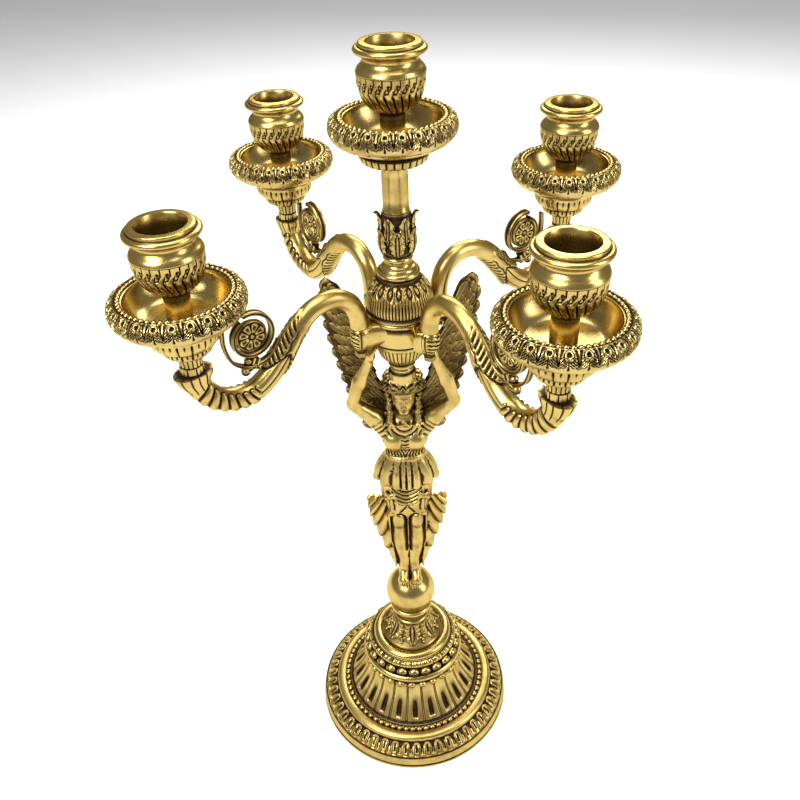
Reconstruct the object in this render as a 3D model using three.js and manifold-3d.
// Five-light tabletop candelabra in cast and turned brass: a winged figure stands on a ball and a
// stepped round base, and carries a hub with four scrolled arms and a centre column.
// Millimetres, +Z up. The origin is on the column's axis, at the underside of the foot.
// The figure faces -Y.

import * as THREE from 'three';
import { mergeVertices } from 'three/addons/utils/BufferGeometryUtils.js';
import Module from 'manifold-3d';

const wasm = await Module();
wasm.setup();

// ---------------------------------------------------------------- driving dimensions

const GAP = 0.3; // between pieces that touch
const ROD_RADIUS = 3; // M6 tie rods and studs
const ROD_HOLE_RADIUS = ROD_RADIUS + 0.4;
const SCREW_RADIUS = 1.5; // M3 wing screws
const ARM_SCREW_RADIUS = 2; // M4 arm screws

// Base
const FOOT_RADIUS = 71.9;
const FOOT_HEIGHT = 19;
const FOOT_RIM_WIDTH = 6;
const FOOT_LIP_WIDTH = 10; // the ledge the dome's edge stands on
const BAND_WIDTH = 11.3; // the sloping leaf band on the foot
const DOME_RADIUS = 50; // where the fluted dome meets the foot
const DOME_TOP_RADIUS = 34.3;
const DOME_HEIGHT = 33.2;
const DOME_WALL = 2.6;
const CAP_RADIUS = 36.9;
const CAP_HEIGHT = 21;
const CAP_WEB = 3.5;
const CAP_RECESS = 2.8; // the vase stands in it
const VASE_RADIUS = 21.8;
const VASE_NECK_RADIUS = 9.4;
const VASE_TOP_RADIUS = 14.8;
const VASE_HEIGHT = 33;
const BALL_RADIUS = 17.5;
const BALL_SEAT = 0.525; // share of the radius at which the ball is cut flat below
const BALL_TOP_FLAT = 0.405; // the same on top
const PLATE_RADIUS = 44;
const PLATE_THICKNESS = 2;
const NUT_RADIUS = 6;
const NUT_HEIGHT = 5;

// Figure and wings
const FIGURE_HEIGHT = 166.2;
const WING_THICKNESS = 3;

// Centre column
const HEAD_COLLAR_RADIUS = 8.3;
const HEAD_COLLAR_HEIGHT = 11;
const BELL_HEIGHT = 19.3;
const HUB_RADIUS = 18.2;
const HUB_HEIGHT = 17;
const HUB_FLANGE_HEIGHT = 3;
const BOSS_REACH = HUB_RADIUS + 8.8; // from the axis to the foot of an arm
const BOSS_RADIUS = 5.6;
const HUB_DOME_HEIGHT = 21.7;
const SPOOL_HEIGHT = 13.7;
const BUD_RADIUS = 11.8;
const BUD_HEIGHT = 22.7;
const STEM_RADIUS = 7;
const STEM_HEIGHT = 25.2;
const CENTRE_COLLAR_HEIGHT = 6.6;

// Arms
const ARM_COUNT = 4;
const ARM_TURN = THREE.MathUtils.degToRad(-55.28); // direction of the first arm
const ARM_REACH = 122.4; // from the axis to a candle's axis
const ARM_TUBE_RADIUS = 5.2;
const ARM_LEAF_RADIUS = 6.2;
const ARM_RISE = 16; // from the arm's foot to its end
const ARM_HOLE_DEPTH = 8;
const STUD_HOLE_DEPTH = 11;
const CUP_LIP_RADIUS = 10;
const SOCKET_HEIGHT = 21.9;
const SOCKET_RADIUS = 16;
const SCROLL_RADIUS = 12.6;
const SCROLL_WIDTH = 4.6;
const SCROLL_THICKNESS = 2.2;
const ROSETTE_RADIUS = 7.8;

// Drip pans and candle cups
const PAN_RADIUS = 32;
const PAN_DEPTH = 11.5; // from the widest line down to the seat
const PAN_FLOOR = 3.5; // thickness at the seat
const PAN_RIM_HEIGHT = 5.2;
const CANDLE_RADIUS = 11.2; // bore for a 22 mm candle
const CANDLE_DEPTH = 22;
const CUP_WALL = 1.6;
const STUB_RADIUS = 6.2;
const STUB_HEIGHT = 16.6;
const CUP_HEIGHT = 29.7;

// Sides of the round pieces; multiples of four, so that the widest points lie on the axes
const WIDE_SIDES = 24;
const ROUND_SIDES = 16;
const SMALL_SIDES = 12;
const LIMB_SIDES = 6;

// ---------------------------------------------------------------- levels, from the foot upwards

const domeZ = FOOT_HEIGHT + GAP;
const capZ = domeZ + DOME_HEIGHT + GAP;
const vaseZ = capZ + CAP_HEIGHT - CAP_RECESS + GAP;
const ballZ = vaseZ + VASE_HEIGHT + GAP;
const ballCentreZ = ballZ + BALL_RADIUS * Math.sqrt(1 - BALL_SEAT ** 2);
const figureZ = ballCentreZ + BALL_RADIUS * Math.sqrt(1 - BALL_TOP_FLAT ** 2) + GAP;
const headCollarZ = figureZ + FIGURE_HEIGHT + GAP;
const bellZ = headCollarZ + HEAD_COLLAR_HEIGHT + GAP;
const hubZ = bellZ + BELL_HEIGHT + GAP;
const hubDomeZ = hubZ + HUB_HEIGHT + GAP;
const spoolZ = hubDomeZ + HUB_DOME_HEIGHT + GAP;
const budZ = spoolZ + SPOOL_HEIGHT + GAP;
const stemZ = budZ + BUD_HEIGHT + GAP;
const centreCollarZ = stemZ + STEM_HEIGHT + GAP;
const centrePanZ = centreCollarZ + CENTRE_COLLAR_HEIGHT + GAP;

const armZ = hubZ + HUB_HEIGHT + GAP - 0.5;
const armEndZ = armZ + ARM_RISE;
const socketZ = armEndZ + GAP;
const sidePanZ = socketZ + SOCKET_HEIGHT + GAP;

const bossTop = HUB_HEIGHT - 0.5;
const cupOnPan = PAN_FLOOR + GAP;
const studHoleInCup = STUB_HEIGHT + 3;

// ---------------------------------------------------------------- materials

function metal(color, roughness = 0.3) {
  return new THREE.MeshStandardMaterial({ color, roughness, metalness: 1 });
}

const polishedBrass = metal(0xc9a23e, 0.22);
const antiqueBrass = metal(0xa07c2e, 0.38);
const agedBrass = metal(0x6f5624, 0.5);
const steel = metal(0x8b8d8f, 0.45);

// ---------------------------------------------------------------- solids

// A closed solid from any three.js geometry, with its shared vertices merged.
function solid(geometry) {
  const bare = geometry.clone();
  for (const name of ['normal', 'uv']) bare.deleteAttribute(name);
  const merged = mergeVertices(bare, 1e-4);
  const corners = Array.from(merged.index.array);
  const triangles = [];
  for (let i = 0; i < corners.length; i += 3) {
    const [a, b, c] = corners.slice(i, i + 3);
    if (a !== b && b !== c && c !== a) triangles.push(a, b, c);
  }
  const mesh = new wasm.Mesh({
    numProp: 3,
    vertProperties: new Float32Array(merged.attributes.position.array),
    triVerts: new Uint32Array(triangles),
  });
  return new wasm.Manifold(mesh);
}

function join(...geometries) {
  return geometries.map(solid).reduce((whole, next) => whole.add(next));
}

function cut(body, ...geometries) {
  return geometries.map(solid).reduce((whole, next) => whole.subtract(next), body);
}

function toGeometry(body) {
  const { vertProperties, triVerts } = body.getMesh();
  const geometry = new THREE.BufferGeometry();
  geometry.setAttribute('position', new THREE.BufferAttribute(vertProperties, 3));
  geometry.setIndex(new THREE.BufferAttribute(triVerts, 1));
  return geometry;
}

// A turned shape about Z. The profile is a list of [radius, height], anticlockwise.
function turned(profile, sides = ROUND_SIDES) {
  const points = profile.map(([radius, z]) => new THREE.Vector2(radius, z));
  return new THREE.LatheGeometry(points, sides).rotateX(Math.PI / 2);
}

// A turned ring: the same, with the profile closed on itself.
function turnedRing(profile, sides = ROUND_SIDES) {
  return turned([...profile, profile[0]], sides);
}

// An upright cylinder that starts at a height.
function post(radius, bottom, top, sides = SMALL_SIDES) {
  const height = top - bottom;
  const cylinder = new THREE.CylinderGeometry(radius, radius, height, sides);
  return cylinder.rotateX(Math.PI / 2).translate(0, 0, bottom + height / 2);
}

function block(x, y, z) {
  const size = [x, y, z].map(([low, high]) => high - low);
  const middle = [x, y, z].map(([low, high]) => (high + low) / 2);
  return new THREE.BoxGeometry(...size).translate(...middle);
}

function egg(centre, radii, sides = LIMB_SIDES) {
  const sphere = new THREE.SphereGeometry(1, sides, Math.ceil(sides / 2) + 1);
  return sphere.rotateX(Math.PI / 2).scale(...radii).translate(...centre);
}

// A round limb between two points, with a ball at its far end.
function limb(from, to, fromRadius, toRadius) {
  const start = new THREE.Vector3(...from);
  const end = new THREE.Vector3(...to);
  const along = end.clone().sub(start);
  const bone = new THREE.CylinderGeometry(toRadius, fromRadius, along.length(), LIMB_SIDES);
  const up = new THREE.Vector3(0, 1, 0);
  const turn = new THREE.Quaternion().setFromUnitVectors(up, along.clone().normalize());
  bone.applyQuaternion(turn).translate(...start.clone().lerp(end, 0.5).toArray());
  return [bone, egg(to, [toRadius, toRadius, toRadius])];
}

// A section swept along a curve in the XZ plane, given by its [x, z] points.
function swept(section, route, steps) {
  const path = new THREE.CatmullRomCurve3(route.map(([x, z]) => new THREE.Vector3(x, 0, z)));
  return new THREE.ExtrudeGeometry(section, { steps, extrudePath: path, curveSegments: 3 });
}

function disc(radius) {
  return new THREE.Shape().absarc(0, 0, radius, 0, 2 * Math.PI);
}

function rectangle(width, height) {
  const [x, y] = [width / 2, height / 2];
  const corners = [[-x, -y], [x, -y], [x, y], [-x, y]];
  return new THREE.Shape(corners.map((corner) => new THREE.Vector2(...corner)));
}

const candelabra = new THREE.Group();

function place(name, shape, material, [x, y, z] = [0, 0, 0], parent = candelabra) {
  const geometry = shape.isBufferGeometry ? toGeometry(solid(shape)) : toGeometry(shape);
  const mesh = new THREE.Mesh(geometry, material);
  mesh.name = name;
  mesh.position.set(x, y, z);
  parent.add(mesh);
}

// ---------------------------------------------------------------- base

// Cast foot: an open ring with a sloping leaf band and an inner lip that the dome stands on.
function baseFoot() {
  const edgeTop = 8.6;
  const bandInner = FOOT_RADIUS - BAND_WIDTH;
  const lip = DOME_RADIUS - FOOT_LIP_WIDTH;
  const under = FOOT_HEIGHT - 2.6;
  return turnedRing([
    [FOOT_RADIUS - FOOT_RIM_WIDTH, 0],
    [FOOT_RADIUS, 0],
    [FOOT_RADIUS, 2],
    [FOOT_RADIUS - 1.1, edgeTop],
    [FOOT_RADIUS - 2.4, edgeTop + 1],
    [bandInner, FOOT_HEIGHT - 2.4],
    [bandInner - 1, FOOT_HEIGHT - 0.8],
    [bandInner - 2.1, FOOT_HEIGHT],
    [lip, FOOT_HEIGHT],
    [lip, under],
    [bandInner - 4, under],
    [FOOT_RADIUS - FOOT_RIM_WIDTH, edgeTop - 1],
  ], WIDE_SIDES);
}

// Fluted dome: a concave shell that narrows towards its top.
function baseDome() {
  const flange = DOME_RADIUS;
  const steps = 4;
  const outer = [];
  const inner = [];
  for (let i = 0; i <= steps; i += 1) {
    const rise = i / steps;
    const radius = DOME_TOP_RADIUS + (flange - 4 - DOME_TOP_RADIUS) * (1 - rise) ** 2;
    const z = 3.3 + (DOME_HEIGHT - 3.3) * rise;
    outer.push([radius, z]);
    inner.unshift([radius - DOME_WALL, z - DOME_WALL * (rise + 0.2)]);
  }
  return turnedRing([
    [flange - 6, 0],
    [flange, 0],
    [flange, 1.2],
    ...outer,
    [DOME_TOP_RADIUS - 6, DOME_HEIGHT],
    [DOME_TOP_RADIUS - 6, DOME_HEIGHT - DOME_WALL * 1.2],
    ...inner,
  ], WIDE_SIDES);
}

// Cap of the base: cornice, bead rows and a smooth torus over a closed web.
function baseCap() {
  const bead = CAP_RADIUS - 3.6;
  const torus = CAP_RADIUS - 8.4;
  const webTop = CAP_HEIGHT - CAP_RECESS;
  const recess = VASE_RADIUS + 0.4;
  const skirt = CAP_RADIUS - 6.1;
  return turnedRing([
    [skirt, 0],
    [bead, 0],
    [CAP_RADIUS, 1.9],
    [CAP_RADIUS, 4.1],
    [bead, 6.2],
    [bead, 10.8],
    [bead - 2, 16.6],
    [torus, 17.8],
    [torus - 2, 20.7],
    [recess + 1, CAP_HEIGHT],
    [recess, webTop],
    [ROD_HOLE_RADIUS, webTop],
    [ROD_HOLE_RADIUS, webTop - CAP_WEB],
    [skirt - 5, webTop - CAP_WEB],
    [skirt - 1, 10],
  ], WIDE_SIDES);
}

// Leafed vase between the base and the ball.
function baseVase() {
  const neck = VASE_NECK_RADIUS;
  const flare = VASE_HEIGHT - 3.8;
  return turnedRing([
    [ROD_HOLE_RADIUS, 0],
    [VASE_RADIUS, 0],
    [VASE_RADIUS, 3.2],
    [VASE_RADIUS - 2, 5.2],
    [neck + 5, 8.7],
    [neck + 1.6, 13.7],
    [neck + 1.6, 19.7],
    [neck, 21.2],
    [VASE_TOP_RADIUS, flare],
    [VASE_TOP_RADIUS, flare + 2.8],
    [VASE_TOP_RADIUS - 2.3, VASE_HEIGHT],
    [ROD_HOLE_RADIUS, VASE_HEIGHT],
  ]);
}

// Turned ball, cut flat where it is seated and where the figure stands.
function ball() {
  const low = Math.asin(BALL_SEAT);
  const high = Math.PI - Math.asin(BALL_TOP_FLAT);
  const steps = 7;
  const profile = [];
  for (let i = 0; i <= steps; i += 1) {
    const angle = low + ((high - low) * i) / steps;
    profile.push([BALL_RADIUS * Math.sin(angle), -BALL_RADIUS * Math.cos(angle)]);
  }
  const bottom = profile[0][1];
  const top = profile[steps][1];
  return turnedRing([[ROD_HOLE_RADIUS, bottom], ...profile, [ROD_HOLE_RADIUS, top]]);
}

function nut(radius, height, hole) {
  return cut(solid(post(radius, 0, height, 6)), post(hole, -1, height + 1));
}

const plateZ = FOOT_HEIGHT - 2.6 - GAP - PLATE_THICKNESS;
const plate = cut(
  solid(post(PLATE_RADIUS, 0, PLATE_THICKNESS, WIDE_SIDES)),
  post(ROD_HOLE_RADIUS, -1, PLATE_THICKNESS + 1),
);
const washerThickness = 1.2;
const washer = cut(
  solid(post(NUT_RADIUS + 2, 0, washerThickness, ROUND_SIDES)),
  post(ROD_HOLE_RADIUS, -1, washerThickness + 1),
);
const washerZ = plateZ - GAP - washerThickness;
const nutZ = washerZ - GAP - NUT_HEIGHT;
const lowerRodTop = figureZ + 20;

place('base_foot', baseFoot(), antiqueBrass);
place('base_dome', baseDome(), antiqueBrass, [0, 0, domeZ]);
place('base_cap', baseCap(), polishedBrass, [0, 0, capZ]);
place('base_vase', baseVase(), antiqueBrass, [0, 0, vaseZ]);
place('ball', ball(), polishedBrass, [0, 0, ballCentreZ]);
place('clamp_plate', plate, agedBrass, [0, 0, plateZ]);
place('base_washer', washer, steel, [0, 0, washerZ]);
place('base_nut', nut(NUT_RADIUS, NUT_HEIGHT, ROD_HOLE_RADIUS), steel, [0, 0, nutZ]);
place('lower_tie_rod', post(ROD_RADIUS, nutZ - 1.5, lowerRodTop), steel);

// ---------------------------------------------------------------- figure and wings

// The figure is shaped at its natural height and then scaled to FIGURE_HEIGHT. Its raised hands
// follow the hub: they reach its underside, just outside the drum.
const naturalHeight = 166.2;
const figureScale = FIGURE_HEIGHT / naturalHeight;
const hubLevel = (hubZ - figureZ) / figureScale; // the hub's underside, at the natural height
const backPlane = 7; // the flat seats of the wings on the figure's back
const wingScrewPlace = { x: 7, z: 134 };
const rodSink = 14; // depth of the upper rod in the head
const handHeight = 4;
const handTurn = THREE.MathUtils.degToRad(27.2); // in front of the figure's own plane

// A body shape with oval rings, from [height, half width, half depth, forward shift].
function ovalStack(rings, sides = SMALL_SIDES) {
  const profile = rings.map(([z, width]) => [width, z]);
  const shape = turned([[0, rings[0][0]], ...profile, [0, rings[rings.length - 1][0]]], sides);
  const position = shape.attributes.position;
  for (let i = 0; i < position.count; i += 1) {
    const ring = rings.find(([z]) => Math.abs(z - position.getZ(i)) < 1e-3);
    const [, width, depth, shift] = ring;
    position.setY(i, (position.getY(i) * depth) / width + shift);
  }
  return shape;
}

function figure() {
  const scale = figureScale;
  const handReach = (HUB_RADIUS + 1.5) / scale;
  const handX = handReach * Math.cos(handTurn);
  const handY = -handReach * Math.sin(handTurn);
  const handZ = hubLevel - 0.5 / scale - handHeight;
  const gown = ovalStack([
    [3, 8.5, 7.5, 0.5],
    [14, 8.8, 6.8, 1],
    [35, 11.5, 7.5, 1],
    [62, 16, 8.5, 0.5],
    [78, 17.5, 9.5, 0],
    [84, 21.7, 12, -0.5],
    [93, 21, 11.5, -0.5],
    [108, 12.2, 8.6, -0.5],
    [112, 11.5, 8.4, -0.5],
    [121, 14.6, 10.5, -1.5],
    [131, 15.5, 8.5, 0],
    [138, 12, 7, 1],
    [142, 5, 4.6, 0],
  ]);
  const pieces = [
    post(8.5, 0, 4),
    gown,
    egg([0, -0.5, 144], [4.6, 4.6, 8]),
    egg([0, -2, 155], [8, 8.6, 10.5], 8),
    egg([0, 0.5, 159], [13, 10.5, 8], 10),
    post(7.2, 155, naturalHeight),
  ];
  for (const side of [-1, 1]) {
    pieces.push(egg([side * 6.5, -8.5, 5], [3.4, 6.5, 3.2]));
    pieces.push(...limb([side * 6.5, -5, 5], [side * 7.5, -6.5, 32], 3.4, 5));
    pieces.push(...limb([side * 7.5, -6.5, 32], [side * 8.5, -6, 58], 5, 5.6));
    pieces.push(...limb([side * 8.5, -6, 58], [side * 8.5, -1, 88], 5.6, 7.5));
    pieces.push(egg([side * 18, 1, 62], [8, 4, 26], 8));
    pieces.push(egg([side * 13.5, -0.5, 134.5], [5.6, 5.4, 5.6]));
    pieces.push(...limb([side * 13.5, -0.5, 134.5], [side * 32.5, -4, 156], 5, 4.6));
    const elbow = [side * 32.5, -4, 156];
    pieces.push(...limb(elbow, [side * (handX + 1.5), handY, handZ - 5.4], 4.4, 2.8));
    pieces.push(egg([side * handX, handY, handZ], [2.4, 3.6, handHeight]));
  }
  const screwHole = SCREW_RADIUS + 0.3;
  const holes = [-1, 1].map((side) => {
    const hole = new THREE.CylinderGeometry(screwHole, screwHole, 12, SMALL_SIDES);
    return hole.translate(side * wingScrewPlace.x, backPlane - 3, wingScrewPlace.z);
  });
  const seat = block([-60, 60], [backPlane, 30], [110, 175]);
  const aboveHead = post(14, naturalHeight, naturalHeight + 6);
  const rodHoles = [
    post(ROD_HOLE_RADIUS / scale, -1, 22 / scale),
    post(ROD_HOLE_RADIUS / scale, naturalHeight - (rodSink + 1) / scale, naturalHeight + 4),
  ];
  const body = cut(join(...pieces), seat, aboveHead, ...holes, ...rodHoles);
  return body.scale([scale, scale, scale]);
}

// One wing, on the side of +X: a thin plate with a lobed outline that follows the feather tips.
function wing() {
  const outer = [[14, 122], [24, 125], [29, 138], [33.5, 154], [38, 173], [42.5, 194], [45.5, 216]];
  const tip = [[44, 227], [40, 231]];
  const inner = [
    [33, hubLevel + 24.6],
    [27, hubLevel + 14.6],
    [25.2, hubLevel + 0.6],
    [17, hubLevel - 10.4],
    [12, 172],
    [6.5, 150],
  ];
  const outline = new THREE.Shape().moveTo(3.5, 124);
  outline.splineThru([...outer, ...tip].map((point) => new THREE.Vector2(...point)));
  outline.splineThru(inner.map((point) => new THREE.Vector2(...point)));
  outline.closePath();
  const flat = new THREE.ExtrudeGeometry(outline, {
    depth: WING_THICKNESS,
    bevelEnabled: false,
    curveSegments: 2,
  });
  flat.rotateX(Math.PI / 2).translate(0, backPlane + GAP + WING_THICKNESS, 0);
  const hole = new THREE.CylinderGeometry(SCREW_RADIUS + 0.3, SCREW_RADIUS + 0.3, 20, SMALL_SIDES);
  hole.translate(wingScrewPlace.x, backPlane, wingScrewPlace.z);
  return cut(solid(flat), hole);
}

function wingScrew() {
  const length = 8.5;
  const head = 1.8;
  const shank = post(SCREW_RADIUS, -length, 0.1);
  const cap = turned([[0, 0], [SCREW_RADIUS * 1.9, 0], [SCREW_RADIUS * 1.5, head], [0, head]], 10);
  return toGeometry(join(shank, cap)).rotateX(-Math.PI / 2);
}

place('figure', figure(), antiqueBrass, [0, 0, figureZ]);
for (const [side, name] of [[-1, 'left'], [1, 'right']]) {
  const half = side > 0 ? wing() : wing().mirror([1, 0, 0]);
  const scale = [figureScale, figureScale, figureScale];
  place(`wing_${name}`, half.scale(scale), agedBrass, [0, 0, figureZ]);
  const behind = (backPlane + GAP + WING_THICKNESS) * figureScale + GAP;
  const screwX = side * wingScrewPlace.x * figureScale;
  const screwZ = figureZ + wingScrewPlace.z * figureScale;
  place(`wing_screw_${name}`, wingScrew(), steel, [screwX, behind, screwZ]);
}

// ---------------------------------------------------------------- hub and centre column

// A turned piece of the column, bored for the tie rod. The profile is the outside, upwards.
function columnPiece(profile, sides = ROUND_SIDES) {
  const bottom = profile[0][1];
  const top = profile[profile.length - 1][1];
  return turnedRing([[ROD_HOLE_RADIUS, bottom], ...profile, [ROD_HOLE_RADIUS, top]], sides);
}

function hub() {
  const flange = HUB_HEIGHT - HUB_FLANGE_HEIGHT;
  const drum = columnPiece([
    [HUB_RADIUS - 1, 0],
    [HUB_RADIUS, 1],
    [HUB_RADIUS, flange],
    [HUB_RADIUS + 0.4, flange + 0.5],
    [HUB_RADIUS + 0.4, HUB_HEIGHT],
  ]);
  const pieces = [drum];
  const holes = [];
  for (let k = 0; k < ARM_COUNT; k += 1) {
    const turn = ARM_TURN + (k * 2 * Math.PI) / ARM_COUNT;
    const web = [HUB_RADIUS * 0.6, BOSS_REACH];
    const half = BOSS_RADIUS - 0.6;
    pieces.push(block(web, [-half, half], [0.6, bossTop]).rotateZ(turn));
    const boss = post(BOSS_RADIUS, 0.6, bossTop, 10);
    pieces.push(boss.translate(BOSS_REACH, 0, 0).rotateZ(turn));
    const hole = post(ARM_SCREW_RADIUS + 2 * GAP, -1, HUB_HEIGHT + 1, 8);
    holes.push(hole.translate(BOSS_REACH, 0, 0).rotateZ(turn));
  }
  return cut(join(...pieces), ...holes);
}

const headCollar = columnPiece([
  [7.2, 0],
  [HEAD_COLLAR_RADIUS, 1.5],
  [HEAD_COLLAR_RADIUS, 8],
  [7.2, 9.4],
  [7, HEAD_COLLAR_HEIGHT],
]);
const hubBell = columnPiece([
  [7, 0],
  [8.6, 4],
  [12.6, 9],
  [14.3, 14.5],
  [HUB_RADIUS - 3, BELL_HEIGHT - 2],
  [HUB_RADIUS - 2.5, BELL_HEIGHT],
]);
const hubDome = columnPiece([
  [HUB_RADIUS + 0.9, 0],
  [HUB_RADIUS + 0.9, 6.5],
  [HUB_RADIUS - 0.4, 12],
  [HUB_RADIUS - 3.4, 17],
  [HUB_RADIUS - 7, HUB_DOME_HEIGHT],
]);
const spool = columnPiece([
  [10, 0],
  [11.3, 1.8],
  [10.6, 4],
  [8, 5.6],
  [6.6, 8],
  [7.8, 10.4],
  [7.8, 12],
  [6.8, SPOOL_HEIGHT],
], SMALL_SIDES + 4);
const leafBud = columnPiece([
  [7.1, 0],
  [BUD_RADIUS - 1.4, 4],
  [BUD_RADIUS, 9],
  [BUD_RADIUS - 2.4, 15],
  [BUD_RADIUS - 1.5, 20.5],
  [STEM_RADIUS, BUD_HEIGHT],
], SMALL_SIDES + 4);
const stemTube = columnPiece([
  [STEM_RADIUS + 0.2, 0],
  [STEM_RADIUS - 0.2, STEM_HEIGHT],
], SMALL_SIDES + 4);
const centreCollar = columnPiece([
  [14.3, 0],
  [14.9, 2],
  [SOCKET_RADIUS + 0.5, 5.6],
  [SOCKET_RADIUS + 0.5, CENTRE_COLLAR_HEIGHT],
]);

place('head_collar', headCollar, polishedBrass, [0, 0, headCollarZ]);
place('hub_bell', hubBell, antiqueBrass, [0, 0, bellZ]);
place('hub', hub(), polishedBrass, [0, 0, hubZ]);
place('hub_dome', hubDome, antiqueBrass, [0, 0, hubDomeZ]);
place('spool', spool, polishedBrass, [0, 0, spoolZ]);
place('leaf_bud', leafBud, antiqueBrass, [0, 0, budZ]);
place('stem_tube', stemTube, polishedBrass, [0, 0, stemZ]);
place('centre_collar', centreCollar, antiqueBrass, [0, 0, centreCollarZ]);

const upperRodBottom = figureZ + FIGURE_HEIGHT - rodSink;
const upperRodTop = centrePanZ + cupOnPan + studHoleInCup - GAP;
place('upper_tie_rod', post(ROD_RADIUS, upperRodBottom, upperRodTop), steel);

// ---------------------------------------------------------------- arms

// The arm lies in the XZ plane of its own group, with its heights measured from the arm's foot.
const scrollCentre = [ARM_REACH - 32.1, ARM_RISE + 3.2];

function arm() {
  const foot = BOSS_REACH;
  const end = ARM_REACH;
  const seat = ARM_RISE;
  const archTop = 22.2;
  const span = end - foot;
  const arch = [
    [foot, 1.5],
    [foot + 1.2, 9],
    [foot + 5.4, 17],
    [foot + 0.147 * span, archTop],
    [foot + 0.273 * span, archTop - 1],
    [foot + 0.377 * span, archTop - 7.4],
  ];
  const bend = [
    [foot + 0.372 * span, archTop - 7],
    [end - 49.4, seat - 12.3],
    [end - 39.4, seat - 23.3],
    [end - 29.4, seat - 29.3],
    [end - 19.4, seat - 29.5],
    [end - 10.4, seat - 25.5],
    [end - 3.9, seat - 18.5],
    [end - 0.6, seat - 11],
    [end, seat - 3],
  ];
  const footDisc = post(ARM_TUBE_RADIUS + 0.2, 0, 2.5).translate(foot, 0, 0);
  const cup = turned([
    [0, seat - 13],
    [5.6, seat - 13],
    [CUP_LIP_RADIUS - 1.4, seat - 6.5],
    [CUP_LIP_RADIUS, seat - 4],
    [CUP_LIP_RADIUS - 3.4, seat - 2.8],
    [6, seat],
    [0, seat],
  ], 8).translate(end, 0, 0);
  const body = join(
    footDisc,
    swept(disc(ARM_TUBE_RADIUS), arch, 6),
    swept(disc(ARM_LEAF_RADIUS), bend, 10),
    cup,
  );
  const screwHole = post(ARM_SCREW_RADIUS + 2 * GAP, -1, ARM_HOLE_DEPTH, 8);
  screwHole.translate(foot, 0, 0);
  const studHole = post(ROD_HOLE_RADIUS, seat - STUD_HOLE_DEPTH, seat + 1).translate(end, 0, 0);
  return cut(body, screwHole, studHole);
}

// A volute with a rosette at its eye, the strap that springs from the arm's leaf, and two balls.
function scroll() {
  const [cx, cz] = scrollCentre;
  const volute = [];
  const steps = 12;
  for (let i = 0; i <= steps; i += 1) {
    const turn = THREE.MathUtils.degToRad(75 + (i * 425) / steps);
    const radius = SCROLL_RADIUS - (SCROLL_RADIUS - ROSETTE_RADIUS) * (i / steps) ** 1.3;
    volute.push([cx + radius * Math.cos(turn), cz + radius * Math.sin(turn)]);
  }
  const strap = [
    [cx - 3, cz - 18.2],
    [cx + 2, cz - 17.8],
    [cx + 7, cz - 16],
    [cx + 12.4, cz - 10.5],
    [cx + 15, cz - 1],
    [cx + 14.6, cz + 8.5],
  ];
  const band = rectangle(SCROLL_THICKNESS, SCROLL_WIDTH);
  const rosette = new THREE.CylinderGeometry(ROSETTE_RADIUS, ROSETTE_RADIUS, 3, SMALL_SIDES);
  return join(
    swept(band, volute, 16),
    swept(band, strap, 7),
    rosette.translate(cx, 0, cz),
    egg([cx + 3.6, 0, cz - 14.4], [2.6, 2.6, 3.4]),
    egg([cx + 7, 0, cz - 20], [2.6, 2.6, 3.4]),
  );
}

// Fluted two-tier socket under a side pan.
function socket() {
  return columnPiece([
    [6, 0],
    [6.4, 8.6],
    [9.6, 14],
    [SOCKET_RADIUS - 5.5, 15],
    [SOCKET_RADIUS, 20.5],
    [SOCKET_RADIUS, SOCKET_HEIGHT],
  ]);
}

function armScrew() {
  const head = 2.6;
  const shankTop = bossTop + ARM_HOLE_DEPTH - 2;
  const shank = post(ARM_SCREW_RADIUS, -head, shankTop, 8);
  return join(shank, post(ARM_SCREW_RADIUS * 1.8, -head, -GAP, 6));
}

// ---------------------------------------------------------------- drip pans and candle cups

// Shallow dish with a rolled edge; its underside is the seat, and the cup stands on its boss.
function pan() {
  const widest = PAN_DEPTH;
  const rim = widest + PAN_RIM_HEIGHT;
  const inner = PAN_RADIUS - 7.2;
  return turnedRing([
    [ROD_HOLE_RADIUS, 0],
    [SOCKET_RADIUS, 0],
    [PAN_RADIUS - 6, 3.6],
    [PAN_RADIUS, widest],
    [PAN_RADIUS - 1.2, widest + 3],
    [PAN_RADIUS - 5.2, rim],
    [inner, rim - 0.6],
    [inner - 1, widest + 2],
    [inner - 4, widest - 4.5],
    [inner - 9, PAN_FLOOR],
    [ROD_HOLE_RADIUS, PAN_FLOOR],
  ]);
}

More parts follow.
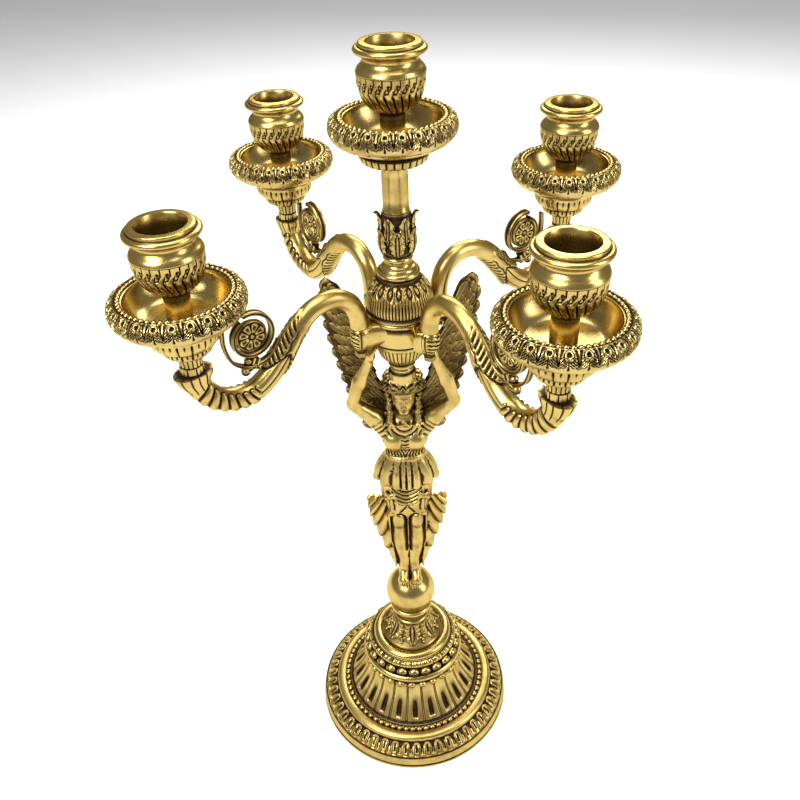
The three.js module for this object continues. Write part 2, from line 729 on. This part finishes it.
// Urn-shaped candle cup on a bored stub that turns on the stud.
function nozzle() {
  const foot = STUB_HEIGHT;
  const top = foot + CUP_HEIGHT;
  const neck = CANDLE_RADIUS + CUP_WALL;
  return turned([
    [0, studHoleInCup],
    [ROD_HOLE_RADIUS, studHoleInCup],
    [ROD_HOLE_RADIUS, 0],
    [STUB_RADIUS, 0],
    [STUB_RADIUS, foot],
    [neck - 2.4, foot + 3.4],
    [neck + 2.6, foot + 8.4],
    [neck + 3.9, foot + 13],
    [neck, foot + 19],
    [neck + 4.5, foot + 23.8],
    [neck + 4.5, foot + 25.3],
    [neck + 2.2, foot + 26],
    [neck + 2.2, top],
    [CANDLE_RADIUS, top],
    [CANDLE_RADIUS, top - CANDLE_DEPTH],
    [0, top - CANDLE_DEPTH],
  ]);
}

for (let k = 0; k < ARM_COUNT; k += 1) {
  const turn = ARM_TURN + (k * 2 * Math.PI) / ARM_COUNT;
  const name = k + 1;
  const bracket = new THREE.Group();
  bracket.rotation.z = turn;
  candelabra.add(bracket);
  place(`arm_${name}`, arm(), polishedBrass, [0, 0, armZ], bracket);
  place(`scroll_${name}`, scroll(), antiqueBrass, [0, 0, armZ], bracket);
  place(`arm_screw_${name}`, armScrew(), steel, [BOSS_REACH, 0, hubZ + 0.6], bracket);

  const [x, y] = [ARM_REACH * Math.cos(turn), ARM_REACH * Math.sin(turn)];
  const studBottom = armEndZ - STUD_HOLE_DEPTH + 1;
  const studTop = sidePanZ + cupOnPan + studHoleInCup - GAP;
  place(`socket_${name}`, socket(), antiqueBrass, [x, y, socketZ]);
  place(`stud_${name}`, post(ROD_RADIUS, studBottom, studTop), steel, [x, y, 0]);
  place(`pan_${name}`, pan(), antiqueBrass, [x, y, sidePanZ]);
  place(`nozzle_${name}`, nozzle(), polishedBrass, [x, y, sidePanZ + cupOnPan]);
}
place('pan_centre', pan(), antiqueBrass, [0, 0, centrePanZ]);
place('nozzle_centre', nozzle(), polishedBrass, [0, 0, centrePanZ + cupOnPan]);

export default candelabra;
